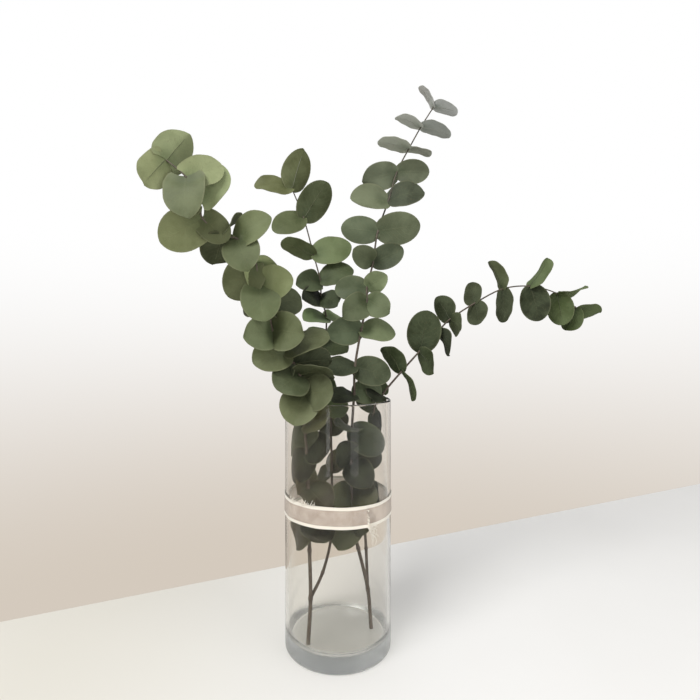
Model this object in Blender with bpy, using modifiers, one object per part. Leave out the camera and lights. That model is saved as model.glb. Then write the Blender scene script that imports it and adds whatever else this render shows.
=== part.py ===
"""Two forked eucalyptus branches standing in a clear glass cylinder vase with a ribbon round it.

The frame is the vase's: the origin is at the centre of its flat underside, +Z is up, +X is to the
right as seen from the front and +Y points to the back. Each branch grew as one piece, so its stems
and leaves are fused into one solid. The leaves grow in opposite pairs, each pair turned about a
quarter from the one below, and they face partly along the stem and partly to the light.
"""
import math
import random

import bmesh
import bpy
from mathutils import Vector

# Vase
VASE_RADIUS = 0.049
VASE_HEIGHT = 0.227
GLASS_WALL = 0.0028
GLASS_BASE = 0.0125
FLOOR_CORNER = 0.004
FOOT_CORNER = 0.003
VASE_STEPS = 48

# Ribbon
GAP = 0.0003
RIBBON_WIDTH = 0.0184
RIBBON_THICKNESS = 0.0004
RIBBON_MIDDLE_HEIGHT = 0.1325
RIBBON_STEPS = 64
LAP_START = 215
LAP_LENGTH = 85
LAP_RISE = 12

# Stems, from the cut foot to the last pair of leaves
STEM_FOOT = 0.0018
STEM_FORK = 0.0015
STEM_TIP = 0.0006
STEM_TAPER = 0.75
STEM_FINENESS = 2

# Leaves
LEAF_THICKNESS = 0.0007
LEAF_ROWS = 5
LEAF_BASE_ANGLE = 32
LEAF_TIP_ANGLE = 162
LEAF_BASE_DRAW = 0.06
ROOT_DEPTH = 0.0003
PAIR_STEP = 0.001
ARCH = 0.07
CUP = 0.10
WAVE = 0.035
LEAF_GAP = 0.0012
LIGHT_AT = Vector((0.0, -0.46, 0.28))

CENTIMETRE = 0.01
FLAT_ANGLE = 0.001

# Each row of a shoot is a joint on its stem, in centimetres, and the two leaves that grow there:
# how far the tip reaches from the joint along X, Y and Z, and how much the upper face is turned
# from the stem's own direction (0) to the light (1), or its under face to the light (-1).
LEFT_SHOOT = [
    ((-2.6, -2.5, 1.29),),
    ((-2.4, -2.3, 5.3),),
    ((-2.5, -2.2, 9.5),),
    ((-2.5, -2.3, 12.2), (-1.4, 1.7, -2.5, 0.6), (1.9, -1.8, -1.1, 0.7)),
    ((-2.6, -2.4, 15.1), (-1.5, 0.0, 2.4, 0.6), (1.9, -1.7, -1.4, 0.6)),
    ((-2.7, -2.6, 18.3), (-1.5, 0.0, -2.6, 0.9), (2.1, -1.5, 1.1, 0.7)),
    ((-2.9, -2.9, 20.8), (-0.8, 1.1, -3.1, 0.8), (2.3, -1.2, 1.2, 0.6)),
    ((-3.0, -3.4, 23.5), (2.6, -2.1, 0.5, 0.8), (-0.6, -2.3, -2.4, 0.75)),
    ((-3.3, -3.7, 25.2), (-1.6, -2.8, -1.0, 0.8), (2.9, -1.8, 0.2, -0.5)),
    ((-3.8, -3.9, 26.2), (3.2, 1.1, 0.3, -0.6), (-2.1, 2.2, -1.5, 0.6)),
    ((-4.3, -4.1, 27.3), (-2.7, -1.8, -0.9, 0.8), (3.6, -0.4, 1.2, 0.3)),
    ((-5.5, -4.6, 29.0), (-2.0, -2.6, -0.5, 1), (2.8, -1.8, -0.4, 1)),
    ((-5.8, -5.2, 31.1), (2.6, 1.9, 0.7, 0.7), (-2.1, 2.6, 0.4, 0.6)),
    ((-6.5, -5.7, 32.8), (2.9, -0.8, 0.3, 1), (0.6, -1.0, -3.2, 1)),
    ((-6.7, -6.2, 34.5), (-2.3, 0.8, -2.8, 0.9), (1.0, 2.4, -2.1, 0.8)),
    ((-8.0, -6.8, 36.2), (2.7, -0.3, 1.7, 0.5), (1.2, -1.2, -2.7, 0.9)),
    ((-9.1, -7.3, 36.4), (-1.3, 2.3, -1.9, -0.85), (0.9, 2.7, 1.7, 0.3)),
    ((-10.5, -7.8, 37.6), (-3.2, -0.4, -1.9, 0.9), (1.9, 0.6, -1.6, 0.9)),
    ((-10.8, -8.3, 39.1), (1.8, 1.1, 2.8, 0.8), (-2.5, 2.2, -0.1, 0.8)),
    ((-11.5, -8.8, 40.5), (2.5, 1.2, 1.2, 0.7), (0.4, -1.0, -3.4, 0.7)),
    ((-13.0, -8.8, 41.8), (1.3, 1.5, 2.6, -0.9), (-1.1, -1.4, -2.3, -0.9)),
]
MIDDLE_SHOOT = [
    ((-2.4, -2.3, 5.3),),
    ((-1.4, -0.6, 6.8),),
    ((-0.7, 0.9, 9.1),),
    ((-0.6, 1.8, 11.8), (-1.4, 1.8, 1.5, 0.5), (1.4, 2.3, 0.9, 0.3)),
    ((-0.6, 2.2, 15.4), (1.3, 1.9, 1.6, 0.5), (-1.8, 1.2, -1.8, 0.5)),
    ((-0.7, 2.5, 18.9), (-1.6, 0.9, 2.1, 0.4), (1.2, 1.6, 2.0, 0.6)),
    ((-0.8, 2.8, 22.4), (1.0, -2.8, -1.5, 0.5), (-1.2, 0.8, 2.4, 0.3)),
    ((-1.0, 3.2, 25.4), (2.3, 2.4, 0.7, 0.4), (-2.0, -2.6, 0.5, 0.3)),
    ((-1.2, 3.5, 28.0), (2.0, -2.5, -1.0, 0.7), (-2.0, 2.4, 1.3, 0.4)),
    ((-1.2, 3.8, 30.5), (-2.1, -2.7, -0.4, 0.6), (2.3, 2.5, -0.6, 0.5)),
    ((-1.7, 4.0, 32.6), (-1.7, -2.9, -0.5, 0.8), (1.7, -2.7, -1.1, 0.7)),
    ((-1.8, 4.1, 34.2), (-2.3, -2.4, -0.6, 0.8), (3.4, 0.3, 1.1, 0.6)),
    ((-2.5, 4.2, 36.9), (-3.2, -1.1, 1.1, -0.4), (3.9, 0.0, 0.8, 0.7)),
    ((-3.5, 4.1, 40.6), (2.4, 0.0, 3.7, -0.8), (-3.0, -1.2, -1.6, 0.7)),
    ((-4.7, 4.0, 43.6), (1.2, 0.2, 4.1, -0.8), (-3.7, -0.6, 0.0, 0.5)),
]
TALL_SHOOT = [
    ((3.1, 0.0, 1.29),),
    ((2.8, 0.1, 4.9),),
    ((1.9, 0.1, 8.7),),
    ((1.5, 0.0, 10.7), (-1.6, -2.6, -0.9, 0.5), (1.8, -2.1, 1.4, 0.6)),
    ((1.3, -0.1, 13.4), (-2.0, -2.0, 1.2, 0.9), (2.2, -2.0, 1.0, 0.8)),
    ((1.2, -0.2, 16.8), (1.6, -2.0, -1.7, 0.9), (-1.1, -1.9, 2.1, 0.8)),
    ((1.3, -0.2, 20.0), (2.8, -0.4, -2.1, 0.9), (-1.1, -2.8, 0.3, 0.5)),
    ((1.5, 0.0, 23.1), (-2.0, -2.2, -0.4, 0.5), (2.7, 1.2, 0.3, 0.8)),
    ((1.6, 0.3, 25.7), (3.3, -0.6, -0.9, 0.9), (-2.7, -1.2, -0.3, 0.5)),
    ((2.2, 0.8, 29.1), (3.3, 0.2, -0.3, 0.6), (-3.3, -1.0, -0.3, 1)),
    ((2.8, 1.2, 32.0), (-2.4, -1.8, -1.6, 1), (2.0, -1.6, -1.3, 1)),
    ((2.8, 1.5, 33.2), (-3.1, 0.2, -0.1, 0.8), (1.7, -1.8, 1.0, 1)),
    ((3.4, 1.8, 35.7), (2.9, -0.4, 1.3, 0.9), (-2.0, -1.8, 0.9, 1)),
    ((3.9, 2.3, 38.8), (-3.6, -0.6, 0.3, 0.9), (4.1, -0.4, 0.5, 1)),
    ((5.0, 2.9, 42.0), (-3.8, -0.8, 0.1, 0.6), (3.6, 0.2, 0.9, 0.6)),
    ((5.9, 3.4, 45.0), (-3.5, -0.8, -1.0, 1), (3.2, -0.3, -0.1, 0.95)),
    ((7.2, 3.9, 47.6), (-3.2, -0.5, 0.5, -0.12), (2.4, 1.4, -0.3, -0.05)),
    ((8.5, 4.4, 50.0), (-2.7, -0.6, 0.7, 0.05), (2.9, -0.6, -1.2, -0.05)),
    ((9.9, 4.9, 52.3), (-1.5, 0.3, 2.2, 0.1), (2.2, -1.1, -1.1, 0)),
]
ARCHING_SHOOT = [
    ((2.8, 0.1, 4.9),),
    ((2.7, 1.0, 8.3),),
    ((2.6, 1.5, 10.8),),
    ((2.7, 1.9, 14.2), (1.7, 0.0, -1.8, 0.6), (-1.3, 2.0, 1.2, 0.3)),
    ((3.0, 2.0, 17.6), (-0.3, -2.6, -1.5, 0.6), (0.9, 0.0, 2.4, 0.5)),
    ((3.5, 1.8, 21.2), (1.0, 0.0, -2.3, 0.8), (-1.3, 1.8, 1.3, 0.4)),
    ((4.3, 1.6, 22.9), (-1.2, -2.7, -0.2, -0.3), (-1.4, 2.3, 1.2, 0.5)),
    ((6.2, 2.0, 25.1), (-1.9, -0.6, 2.4, -0.4), (1.1, 0.4, -3.0, 0.1)),
    ((8.1, 2.6, 27.1), (1.0, -1.9, -2.0, -0.45), (0.6, -0.8, 3.9, -0.9)),
    ((10.0, 3.3, 29.0), (-1.6, 2.2, 1.1, -0.6), (0.7, -1.8, -2.3, -0.25)),
    ((11.4, 3.9, 30.3), (-1.2, 1.4, 2.3, -0.55), (0.3, -2.6, -1.3, -0.6)),
    ((14.2, 5.0, 32.0), (-0.1, 1.8, 2.3, -0.65), (-0.2, -1.8, -2.3, -0.65)),
    ((17.5, 6.2, 33.6), (-1.5, -0.2, 2.9, 0.1), (-0.1, -0.2, -3.6, -0.05)),
    ((20.9, 7.4, 34.0), (1.9, -0.2, 3.0, 0.1), (0.6, -0.6, -3.8, -0.85)),
    ((24.1, 8.2, 33.3), (3.5, 0.6, 0.9, 0.2), (0.3, -0.6, -3.5, -0.8)),
    ((26.6, 8.8, 31.7), (-1.4, -0.6, -2.5, -0.7), (3.0, 0.9, -0.4, 0.3)),
]

# Leaf breadth as a share of its length: at the foot of the shoot and at its tip
SHOOT_BREADTHS = {
    "left": (1.0, 0.88),
    "middle": (0.86, 0.70),
    "tall": (0.92, 0.72),
    "arching": (0.90, 0.78),
}


def material(name, colour, roughness, transmission=0.0):
    """A plain finish for one sub-part."""
    finish = bpy.data.materials.new(name)
    finish.use_nodes = True
    shader = finish.node_tree.nodes["Principled BSDF"]
    shader.inputs["Base Color"].default_value = (*colour, 1.0)
    shader.inputs["Roughness"].default_value = roughness
    shader.inputs["Metallic"].default_value = 0.0
    shader.inputs["Transmission Weight"].default_value = transmission
    return finish


def add_object(name, data, collection):
    thing = bpy.data.objects.new(name, data)
    collection.objects.link(thing)
    return thing


def evaluated_mesh(thing):
    """The object's mesh with its modifiers or its curve's bevel made real."""
    bpy.context.view_layer.update()
    shaped = thing.evaluated_get(bpy.context.evaluated_depsgraph_get())
    return bpy.data.meshes.new_from_object(shaped)


def corner(across, height, radius, start, end, steps=3):
    """Points of a round corner, from one angle to another in degrees."""
    turns = (math.radians(start + (end - start) * i / steps) for i in range(steps + 1))
    return [(across + radius * math.cos(a), height + radius * math.sin(a)) for a in turns]


def make_vase(collection):
    """Turns the vase's wall: over its floor, up inside, over the rim, down outside and under."""
    inside = VASE_RADIUS - GLASS_WALL
    lip = GLASS_WALL / 2
    profile = [(0.0, GLASS_BASE)]
    profile += corner(inside - FLOOR_CORNER, GLASS_BASE + FLOOR_CORNER, FLOOR_CORNER, -90, 0)
    profile += corner(inside + lip, VASE_HEIGHT - lip, lip, 180, 0, 4)
    profile += corner(VASE_RADIUS - FOOT_CORNER, FOOT_CORNER, FOOT_CORNER, 0, -90)
    profile += [(0.0, 0.0)]
    outline = bpy.data.meshes.new("glass_vase")
    edges = [(i, i + 1) for i in range(len(profile) - 1)]
    outline.from_pydata([(across, 0.0, height) for across, height in profile], edges, [])
    vase = add_object("glass_vase", outline, collection)
    turn = vase.modifiers.new("turn", "SCREW")
    turn.steps = VASE_STEPS
    turn.render_steps = VASE_STEPS
    turn.use_merge_vertices = True
    turn.merge_threshold = 0.00005
    turn.use_smooth_shade = True
    vase.data.materials.append(material("clear_glass", (0.93, 0.95, 0.94), 0.03, 1.0))
    return vase


def make_ribbon(collection):
    """Wraps a flat strip once round the vase and laps its end over its start."""
    path = bpy.data.curves.new("ribbon", "CURVE")
    path.dimensions = "2D"
    path.fill_mode = "NONE"
    path.extrude = RIBBON_WIDTH / 2
    step = 360 / RIBBON_STEPS
    count = RIBBON_STEPS + round(LAP_LENGTH / step) + 1
    strip = path.splines.new("POLY")
    strip.points.add(count - 1)
    lap_height = RIBBON_THICKNESS + GAP
    for i, point in enumerate(strip.points):
        wound = i * step
        lift = min(max((wound - 360 + LAP_RISE) / LAP_RISE, 0.0), 1.0)
        reach = VASE_RADIUS + GAP + RIBBON_THICKNESS / 2 + lap_height * lift
        angle = math.radians(LAP_START + wound)
        point.co = (reach * math.cos(angle), reach * math.sin(angle), 0.0, 1.0)
    curve = bpy.data.objects.new("ribbon_path", path)
    bpy.context.scene.collection.objects.link(curve)
    ribbon = add_object("ribbon", evaluated_mesh(curve), collection)
    bpy.data.objects.remove(curve)
    ribbon.location.z = RIBBON_MIDDLE_HEIGHT
    cloth = ribbon.modifiers.new("thickness", "SOLIDIFY")
    cloth.thickness = RIBBON_THICKNESS
    cloth.offset = 0.0
    ribbon.data.shade_smooth()
    ribbon.data.materials.append(material("ribbon_satin", (0.86, 0.82, 0.70), 0.45))
    return ribbon


def curve_through(points, between):
    """Points of a smooth curve through the stem's joints."""
    ends = [2 * points[0] - points[1]] + points + [2 * points[-1] - points[-2]]
    smooth = []
    for before, start, end, after in zip(ends, ends[1:], ends[2:], ends[3:]):
        for i in range(between):
            t = i / between
            smooth.append(0.5 * (2 * start + (end - before) * t
                                 + (2 * before - 5 * start + 4 * end - after) * t ** 2
                                 + (3 * start - before - 3 * end + after) * t ** 3))
    return smooth + [points[-1]]


def make_stem(name, joints, foot_radius, collection):
    """A tapered stem through its joints, as a closed mesh."""
    points = curve_through(joints, STEM_FINENESS)
    path = bpy.data.curves.new(name, "CURVE")
    path.dimensions = "3D"
    path.bevel_depth = foot_radius
    path.bevel_resolution = 1
    path.use_fill_caps = True
    spline = path.splines.new("POLY")
    spline.points.add(len(points) - 1)
    for i, (target, place) in enumerate(zip(spline.points, points)):
        climbed = (i / (len(points) - 1)) ** STEM_TAPER
        target.co = (*place, 1.0)
        target.radius = 1.0 + (STEM_TIP / foot_radius - 1.0) * climbed
    curve = add_object(name + "_path", path, collection)
    stem = add_object(name, evaluated_mesh(curve), collection)
    bpy.data.objects.remove(curve)
    weld = bmesh.new()
    weld.from_mesh(stem.data)
    bmesh.ops.remove_doubles(weld, verts=weld.verts, dist=0.00001)
    weld.to_mesh(stem.data)
    weld.free()
    return stem


def leaf_directions(joint, reach, stem_direction, turned):
    """Along the leaf, across it, and out of its upper face."""
    along = reach.normalized()
    to_light = (LIGHT_AT - joint - reach / 2).normalized()
    face = stem_direction * (1 - abs(turned)) + to_light * turned
    face = (face - along * face.dot(along)).normalized()
    return along, face.cross(along), face


def kept_off_the_glass(place, inside):
    """Bends a blade clear of the vase: inwards where it hangs inside, outwards where outside."""
    distance = math.hypot(place.x, place.y)
    if place.z > VASE_HEIGHT + LEAF_GAP or distance == 0:
        return place
    room = VASE_RADIUS - GLASS_WALL - LEAF_GAP
    wanted = min(distance, room) if inside else max(distance, VASE_RADIUS + LEAF_GAP)
    return Vector((place.x * wanted / distance, place.y * wanted / distance, place.z))


def make_leaf(name, joint, reach, turned, stem_direction, breadth, draw, collection):
    """A round blade: a flat grid drawn to the leaf's outline, arched, cupped and waved."""
    sheet = bmesh.new()
    bmesh.ops.create_grid(sheet, x_segments=2, y_segments=LEAF_ROWS, size=1.0)
    along, across, face = leaf_directions(joint, reach, stem_direction, turned)
    length = reach.length
    tip = joint + reach
    hangs_inside = joint.z < VASE_HEIGHT or math.hypot(tip.x, tip.y) < VASE_RADIUS
    arch = length * ARCH * draw.uniform(0.4, 1.5)
    cup = length * CUP * draw.uniform(-0.3, 1.3)
    wave = length * WAVE * draw.uniform(0.3, 1.5)
    phase = draw.uniform(0, 2 * math.pi)
    half_width = length * breadth * draw.uniform(0.94, 1.06) / 2
    for vertex in sheet.verts:
        side = round(vertex.co.x)
        share = (vertex.co.y + 1) / 2
        angle = math.radians(LEAF_BASE_ANGLE + (LEAF_TIP_ANGLE - LEAF_BASE_ANGLE) * share)
        edge = (1 - math.cos(angle)) / 2 - LEAF_BASE_DRAW * (1 - share)
        forward = length * (share if side == 0 else edge) - ROOT_DEPTH * (1 - share)
        sideways = half_width * side * math.sin(angle)
        rise = 4 * arch * share * (1 - share)
        rise += abs(side) * (cup * math.sin(angle) + wave * math.sin(2 * math.pi * share + side * phase))
        place = joint + along * forward + across * sideways + face * rise * min(1.0, 3 * share + 0.3)
        vertex.co = kept_off_the_glass(place, hangs_inside)
    bmesh.ops.triangulate(sheet, faces=sheet.faces)
    mesh = bpy.data.meshes.new(name)
    sheet.to_mesh(mesh)
    sheet.free()
    leaf = add_object(name, mesh, collection)
    body = leaf.modifiers.new("thickness", "SOLIDIFY")
    body.thickness = LEAF_THICKNESS
    body.offset = 0.0
    return leaf


def grow_shoot(name, rows, foot_radius, seed, collection):
    """One leafy shoot: its stem, and the pair of leaves at each joint that has one."""
    draw = random.Random(seed)
    joints = [Vector(row[0]) * CENTIMETRE for row in rows]
    stem = make_stem(name + "_stem", joints, foot_radius, collection)
    at_foot, at_tip = SHOOT_BREADTHS[name]
    leaves = []
    for i, row in enumerate(rows):
        below = joints[max(i - 1, 0)]
        above = joints[min(i + 1, len(joints) - 1)]
        stem_direction = (above - below).normalized()
        breadth = at_foot + (at_tip - at_foot) * i / (len(rows) - 1)
        for number, (x, y, z, turned) in enumerate(row[1:]):
            reach = Vector((x, y, z)) * CENTIMETRE
            root = joints[i] + stem_direction * PAIR_STEP * (number - 0.5)
            title = "%s_leaf_%d_%d" % (name, i, number)
            leaves.append(make_leaf(title, root, reach, turned, stem_direction, breadth, draw,
                                    collection))
    return stem, leaves


def split_in_triangles(mesh):
    """Splits every face where it bends, so that no triangle of it folds back over another."""
    split = bmesh.new()
    split.from_mesh(mesh)
    bmesh.ops.connect_verts_nonplanar(split, faces=split.faces, angle_limit=FLAT_ANGLE)
    bmesh.ops.triangulate(split, faces=split.faces)
    split.to_mesh(mesh)
    split.free()


def make_branch(name, main_shoot, side_shoot, collection):
    """Fuses a forked branch: the main stem, the stem that forks off it, and all their leaves."""
    growth = bpy.data.collections.new(name + "_growth")
    bpy.context.scene.collection.children.link(growth)
    trunk, _ = grow_shoot(*main_shoot, growth)
    grow_shoot(*side_shoot, growth)
    growth.objects.unlink(trunk)
    collection.objects.link(trunk)
    trunk.name = name
    join = trunk.modifiers.new("join", "BOOLEAN")
    join.operation = "UNION"
    join.operand_type = "COLLECTION"
    join.collection = growth
    join.solver = "EXACT"
    fused = evaluated_mesh(trunk)
    split_in_triangles(fused)
    trunk.modifiers.clear()
    trunk.data = fused
    for piece in list(growth.objects):
        bpy.data.objects.remove(piece)
    bpy.data.collections.remove(growth)
    trunk.data.materials.clear()
    trunk.data.materials.append(material(name + "_green", (0.20, 0.25, 0.15), 0.6))
    trunk.data.shade_smooth()
    return trunk


def main():
    for thing in list(bpy.data.objects):
        bpy.data.objects.remove(thing)
    arrangement = bpy.data.collections.new("eucalyptus_in_vase")
    bpy.context.scene.collection.children.link(arrangement)
    make_vase(arrangement)
    make_ribbon(arrangement)
    make_branch("left_branch", ("left", LEFT_SHOOT, STEM_FOOT, 11),
                ("middle", MIDDLE_SHOOT, STEM_FORK, 12), arrangement)
    make_branch("right_branch", ("tall", TALL_SHOOT, STEM_FOOT, 13),
                ("arching", ARCHING_SHOOT, STEM_FORK, 14), arrangement)


main()
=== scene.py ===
# %% [markdown]
# # Eucalyptus branches in a glass vase
#
# Four leafy shoots of silver eucalyptus stand in a clear cylinder vase with a sheer ribbon round it.
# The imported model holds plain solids: a vase, a ribbon and two fused branches. This lesson loads them as
# a fixed frame and dresses each one in a finer piece that keeps its form. Lengths are in metres, +Z is up
# and +Y points to the back.

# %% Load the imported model
import math
import random

import bpy
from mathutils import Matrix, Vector


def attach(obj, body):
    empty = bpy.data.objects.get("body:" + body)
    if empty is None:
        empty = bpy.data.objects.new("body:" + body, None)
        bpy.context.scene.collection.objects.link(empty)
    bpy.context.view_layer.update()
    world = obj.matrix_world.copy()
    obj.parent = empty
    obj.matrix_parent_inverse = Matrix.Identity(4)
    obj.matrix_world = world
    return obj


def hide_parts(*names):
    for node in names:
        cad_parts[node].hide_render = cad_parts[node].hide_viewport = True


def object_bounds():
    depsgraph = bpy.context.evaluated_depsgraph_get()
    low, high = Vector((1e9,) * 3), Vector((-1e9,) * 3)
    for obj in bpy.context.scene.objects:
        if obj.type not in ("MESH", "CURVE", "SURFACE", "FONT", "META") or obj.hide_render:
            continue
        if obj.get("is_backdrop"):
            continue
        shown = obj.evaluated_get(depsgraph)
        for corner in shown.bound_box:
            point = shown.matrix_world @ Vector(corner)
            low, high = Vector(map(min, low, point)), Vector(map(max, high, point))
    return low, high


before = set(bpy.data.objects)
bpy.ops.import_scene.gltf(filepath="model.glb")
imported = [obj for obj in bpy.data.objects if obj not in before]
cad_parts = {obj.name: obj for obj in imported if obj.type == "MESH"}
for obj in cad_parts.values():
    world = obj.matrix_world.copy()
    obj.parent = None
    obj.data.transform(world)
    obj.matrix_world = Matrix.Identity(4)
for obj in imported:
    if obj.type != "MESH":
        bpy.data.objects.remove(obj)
solid_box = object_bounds()
print("The packed nodes are", sorted(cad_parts))

# %% [markdown]
# An operator acts on everything that is selected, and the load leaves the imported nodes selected. These
# two helpers clear the selection and pick one piece, as a click in the window would.


# %% Selecting by hand
def deselect_all():
    bpy.ops.object.select_all(action="DESELECT")


def pick(piece):
    deselect_all()
    piece.select_set(True)
    bpy.context.view_layer.objects.active = piece


deselect_all()
print("Nothing is selected now")

# %% [markdown]
# ## Camera, table and light
#
# The picture was taken from close by, level with the first leaves above the vase, with a wide view. A
# level camera keeps the vase's sides upright, and a small shift of the frame puts the vase a little left
# of the middle, so the camera itself needs no turning.

# %% Camera
PICTURE_SIDE = 700
FOCAL_LENGTH_IN_PIXELS = 492
SENSOR_WIDTH = 36
CAMERA_DISTANCE = 0.46
CAMERA_HEIGHT = 0.2817

bpy.ops.object.camera_add(
    location=(0.0, -CAMERA_DISTANCE, CAMERA_HEIGHT), rotation=(math.radians(90), 0.0, 0.0))
camera = bpy.context.object
camera.name = "camera"
camera.data.sensor_width = SENSOR_WIDTH
camera.data.lens = SENSOR_WIDTH * FOCAL_LENGTH_IN_PIXELS / PICTURE_SIDE
camera.data.shift_x = 12 / PICTURE_SIDE
camera.data.shift_y = -10 / PICTURE_SIDE
bpy.context.scene.camera = camera
print("The lens is %.1f mm long" % camera.data.lens)

# %% [markdown]
# The materials below are built from nodes. Wiring nodes in code is wordy, so three short helpers do it:
# one adds a node with its settings and wires whatever sockets it is given, one does sums, and one blends
# two colours. A value given to a socket may be a plain number, a colour or another node's output.


# %% Helpers for nodes
def wire(tree, value, socket):
    if isinstance(value, bpy.types.NodeSocket):
        tree.links.new(value, socket)
    elif socket.type == "RGBA" and len(value) == 3:
        socket.default_value = (*value, 1.0)
    else:
        socket.default_value = value


def add_node(tree, kind, inputs=(), **settings):
    node = tree.nodes.new(kind)
    for name, value in settings.items():
        setattr(node, name, value)
    for name, value in dict(inputs).items():
        wire(tree, value, node.inputs[name])
    return node


def sum_node(tree, operation, first, second=0.0, clamp=False):
    node = add_node(tree, "ShaderNodeMath", {0: first, 1: second}, operation=operation, use_clamp=clamp)
    return node.outputs[0]


def step_node(tree, value, low, high, smooth=True):
    """0 below low, 1 above high, and a smooth rise between them; low may be the larger of the two."""
    kind = "SMOOTHSTEP" if smooth else "LINEAR"
    places = {"Value": value, "From Min": low, "From Max": high}
    return add_node(tree, "ShaderNodeMapRange", places, interpolation_type=kind).outputs[0]


def blend_node(tree, share, first, second, kind="MIX"):
    node = add_node(tree, "ShaderNodeMix", data_type="RGBA", blend_type=kind)
    wire(tree, share, node.inputs[0])
    wire(tree, first, node.inputs[6])
    wire(tree, second, node.inputs[7])
    return node.outputs[2]


def new_material(name):
    material = bpy.data.materials.new(name)
    material.use_nodes = True
    tree = material.node_tree
    return material, tree, tree.nodes["Principled BSDF"]


print("Node helpers are ready")

# %% [markdown]
# The vase stands on a plain white table in front of a pale wall. Only the table is modelled, as a slab
# whose far edge runs askew behind the vase. Its top is painted greyer and warmer towards the left, as
# painted shade. It is marked as stage, so it isn't part of the object. The surrounding light stands for the
# wall: white above, and a warmer pale grey lower down.

# %% Table
TABLE_SIZE = 4.0
TABLE_THICKNESS = 0.03
TABLE_TURN = math.radians(24.3)
TABLE_TOP = -0.0002
FAR_EDGE = Vector((0.0, 0.186, TABLE_TOP))

away = Vector((-math.sin(TABLE_TURN), math.cos(TABLE_TURN), 0.0))
centre = FAR_EDGE - away * TABLE_SIZE / 2 - Vector((0.0, 0.0, TABLE_THICKNESS / 2))
bpy.ops.mesh.primitive_cube_add(size=1.0, location=centre, rotation=(0.0, 0.0, TABLE_TURN))
table = bpy.context.object
table.name = "table"
table.scale = (TABLE_SIZE, TABLE_SIZE, TABLE_THICKNESS)
bpy.ops.object.transform_apply(location=True, rotation=True, scale=True)
edge_round = table.modifiers.new("edge", "BEVEL")
edge_round.width = 0.002
edge_round.segments = 3
table_paint, tree, shader = new_material("table_paint")
place = add_node(tree, "ShaderNodeTexCoord").outputs["Object"]
rightward = add_node(tree, "ShaderNodeSeparateXYZ", {0: place}).outputs[0]
# Painted shade: the top turns greyer and warmer towards the left.
painted_light_share = step_node(tree, rightward, -0.28, 0.12)
paint_colour = blend_node(tree, painted_light_share, (0.74, 0.71, 0.63), (0.93, 0.92, 0.90))
grain = add_node(tree, "ShaderNodeTexNoise", {"Vector": place, "Scale": 6.0, "Detail": 3.0})
worn = sum_node(tree, "MULTIPLY", grain.outputs[0], 0.3)
paint_colour = blend_node(tree, worn, paint_colour, (0.80, 0.78, 0.74))
wire(tree, paint_colour, shader.inputs["Base Color"])
wire(tree, 0.7, shader.inputs["Roughness"])
table.data.materials.append(table_paint)
table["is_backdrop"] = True
print("The table's far edge passes %.0f mm behind the vase's middle" % (FAR_EDGE.y * 1000))

# %% [markdown]
# Soft studio light: a large lamp from the upper left of the camera makes the upper faces of the leaves
# brighter than their under faces, and a weaker one from the right keeps the shadows open. Two narrow
# lamps low in front mirror as upright streaks in the glass. The surroundings look white to the camera and
# through the glass, but light the leaves only half as much, so that the inner leaves stay dark.


# %% Light
def add_soft_lamp(name, place, target, size, power):
    bpy.ops.object.light_add(type="AREA", location=place)
    lamp = bpy.context.object
    lamp.name = name
    lamp.data.size = size
    lamp.data.energy = power
    lamp.rotation_euler = (Vector(target) - Vector(place)).to_track_quat("-Z", "Y").to_euler()
    return lamp


def add_strip_lamp(name, place, width, power):
    lamp = add_soft_lamp(name, place, (0.0, 0.0, place[2]), width, power)
    lamp.data.shape = "RECTANGLE"
    lamp.data.size_y = 0.14
    lamp.visible_camera = False


add_soft_lamp("window_lamp", (-0.7, -0.9, 1.5), (0.0, 0.0, 0.3), 0.8, 22.0)
add_soft_lamp("fill_lamp", (1.3, -0.9, 1.0), (0.05, 0.0, 0.3), 1.2, 8.0)
add_strip_lamp("left_strip", (-0.225, -0.61, 0.07), 0.08, 0.10)
add_strip_lamp("right_strip", (0.364, -0.538, 0.07), 0.20, 0.14)
AMBIENT = 0.5

surroundings = bpy.data.worlds.new("surroundings")
surroundings.use_nodes = True
bpy.context.scene.world = surroundings
tree = surroundings.node_tree
direction = add_node(tree, "ShaderNodeTexCoord").outputs["Generated"]
height = add_node(tree, "ShaderNodeSeparateXYZ", {0: direction}).outputs[2]
risen = step_node(tree, height, -0.42, 0.20)
sky = blend_node(tree, risen, (0.66, 0.59, 0.51), (1.0, 1.0, 1.0))
wire(tree, sky, tree.nodes["Background"].inputs["Color"])
ray = add_node(tree, "ShaderNodeLightPath").outputs
seen = sum_node(tree, "MAXIMUM", ray["Is Camera Ray"], ray["Is Transmission Ray"])
strength = sum_node(tree, "ADD", AMBIENT, sum_node(tree, "MULTIPLY", seen, 1.0 - AMBIENT))
wire(tree, strength, tree.nodes["Background"].inputs["Strength"])
bpy.context.scene.view_settings.view_transform = "Standard"

# %% [markdown]
# ## Effects that several materials share
#
# **Mottle** is an uneven tone, like the waxy bloom on a leaf or the weathering of bark. It reads object
# coordinates, so it stays put when a piece is copied elsewhere.
#
# ** Veins** draws a leaf's midrib, its curved side veins and its thin pale rim, and a mask low on the blade
# near the rib for painted shade, with some rubbed bloom. It reads the blade's own UV map, which runs
# across the blade and along it, so the lines follow every bend.
#
# **Threads** draws a plain weave from the ribbon's own UV map: where warp and weft lie, and the gaps
# between them.


# %% Node groups
def new_group(name, inputs, outputs):
    """A shader node group with named sockets; returns the group, its tree and its two end nodes."""
    group = bpy.data.node_groups.new(name, "ShaderNodeTree")
    for label, kind, start in inputs:
        socket = group.interface.new_socket(name=label, in_out="INPUT", socket_type=kind)
        if start is not None:
            socket.default_value = start
    for label in outputs:
        group.interface.new_socket(name=label, in_out="OUTPUT", socket_type="NodeSocketFloat")
    start_node = group.nodes.new("NodeGroupInput")
    end_node = group.nodes.new("NodeGroupOutput")
    return group, start_node.outputs, end_node.inputs


def use_group(tree, group, **inputs):
    node = tree.nodes.new("ShaderNodeGroup")
    node.node_tree = group
    for name, value in inputs.items():
        wire(tree, value, node.inputs[name])
    return node.outputs


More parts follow.
